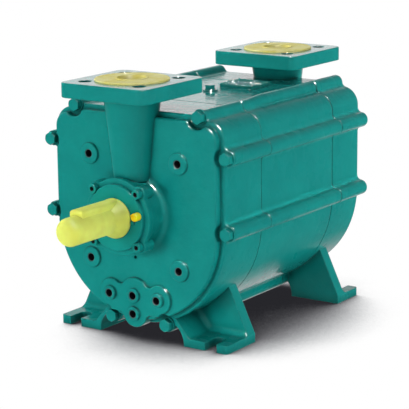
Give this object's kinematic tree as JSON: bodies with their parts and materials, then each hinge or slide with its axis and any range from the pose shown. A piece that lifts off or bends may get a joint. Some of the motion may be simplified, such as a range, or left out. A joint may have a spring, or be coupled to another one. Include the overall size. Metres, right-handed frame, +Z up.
{
  "type": "liquid ring vacuum pump",
  "caption": "Foot-mounted liquid ring vacuum pump with upright square-flanged nozzles at both ends, ribbed ring casing and a capped keyed drive shaft.",
  "frame": {"origin": "on the floor plane, under the shaft, midway between the four foot slots", "axes": "+X across the feet, to the right seen from the drive end; +Y along the shaft, away from the drive end; +Z up"},
  "size_m": [0.311, 0.5815, 0.3624],
  "materials": {
    "green_enamel": "thick glossy teal green enamel over cast iron",
    "painted_joint": "joint painted over",
    "dark_sealant": "dark jointing compound",
    "machined_steel": "machined steel",
    "cast_bronze": "cast bronze",
    "grey_iron": "machined grey iron",
    "cage_brass": "turned brass",
    "black_rubber": "moulded rubber",
    "seal_ceramic": "lapped ceramic",
    "yellow_cap": "moulded polyethylene",
    "lime_sleeve": "soft translucent plastic",
    "flange_cap_yellow": "moulded polyethylene"
  },
  "bodies": {
    "casing": {"front_cover": "green_enamel", "centre_body": "green_enamel", "rear_cover": "green_enamel", "front_gasket": "painted_joint", "rear_gasket": "dark_sealant", "suction_port_plate": "grey_iron", "discharge_port_plate": "grey_iron", "front_bearing_outer_ring": "machined_steel", "rear_bearing_outer_ring": "machined_steel", "front_bearing_cover": "green_enamel", "rear_bearing_cover": "green_enamel", "bearing_cover_screws": "green_enamel", "lip_seal": "black_rubber", "front_seal_seat": "seal_ceramic", "rear_seal_seat": "seal_ceramic", "tie_bolts": "green_enamel", "tie_bolt_washers": "green_enamel", "deck_plug": "green_enamel", "grease_nipple": "machined_steel", "relief_plug": "green_enamel"},
    "rotor": {"shaft": "machined_steel", "drive_key": "machined_steel", "impeller": "cast_bronze", "impeller_key": "machined_steel", "front_bearing_inner_ring": "machined_steel", "rear_bearing_inner_ring": "machined_steel", "front_seal_head": "black_rubber", "rear_seal_head": "black_rubber", "lock_nut": "machined_steel"},
    "roller_sets": {"bearing_rollers": "machined_steel", "bearing_cages": "cage_brass"},
    "shaft_sleeve": {"shaft_sleeve": "lime_sleeve"},
    "nipple_cap": {"nipple_cap": "yellow_cap"},
    "suction_cap": {"suction_cap": "flange_cap_yellow"},
    "discharge_cap": {"discharge_cap": "flange_cap_yellow"}
  },
  "joints": [
    {"name": "shaft_spin", "type": "hinge", "parent": "casing", "child": "rotor", "pos_m": [0, 0, 0.18], "axis": [0, 1, 0], "continuous": true},
    {"name": "rollers_orbit", "type": "hinge", "parent": "casing", "child": "roller_sets", "pos_m": [0, 0, 0.18], "axis": [0, 1, 0], "continuous": true},
    {"name": "sleeve_pull", "type": "slide", "parent": "rotor", "child": "shaft_sleeve", "axis": [0, -1, 0], "range_m": [0, 0.13]},
    {"name": "suction_cap_lift", "type": "slide", "parent": "casing", "child": "suction_cap", "axis": [0, 0, 1], "range_m": [0, 0.06]},
    {"name": "discharge_cap_lift", "type": "slide", "parent": "casing", "child": "discharge_cap", "axis": [0, 0, 1], "range_m": [0, 0.06]},
    {"name": "nipple_cap_pull", "type": "slide", "parent": "casing", "child": "nipple_cap", "axis": [0, -1, 0], "range_m": [0, 0.03]}
  ],
  "couplings": [
    {"joint": "rollers_orbit", "follows": "shaft_spin", "ratio": 0.4077}
  ]
}
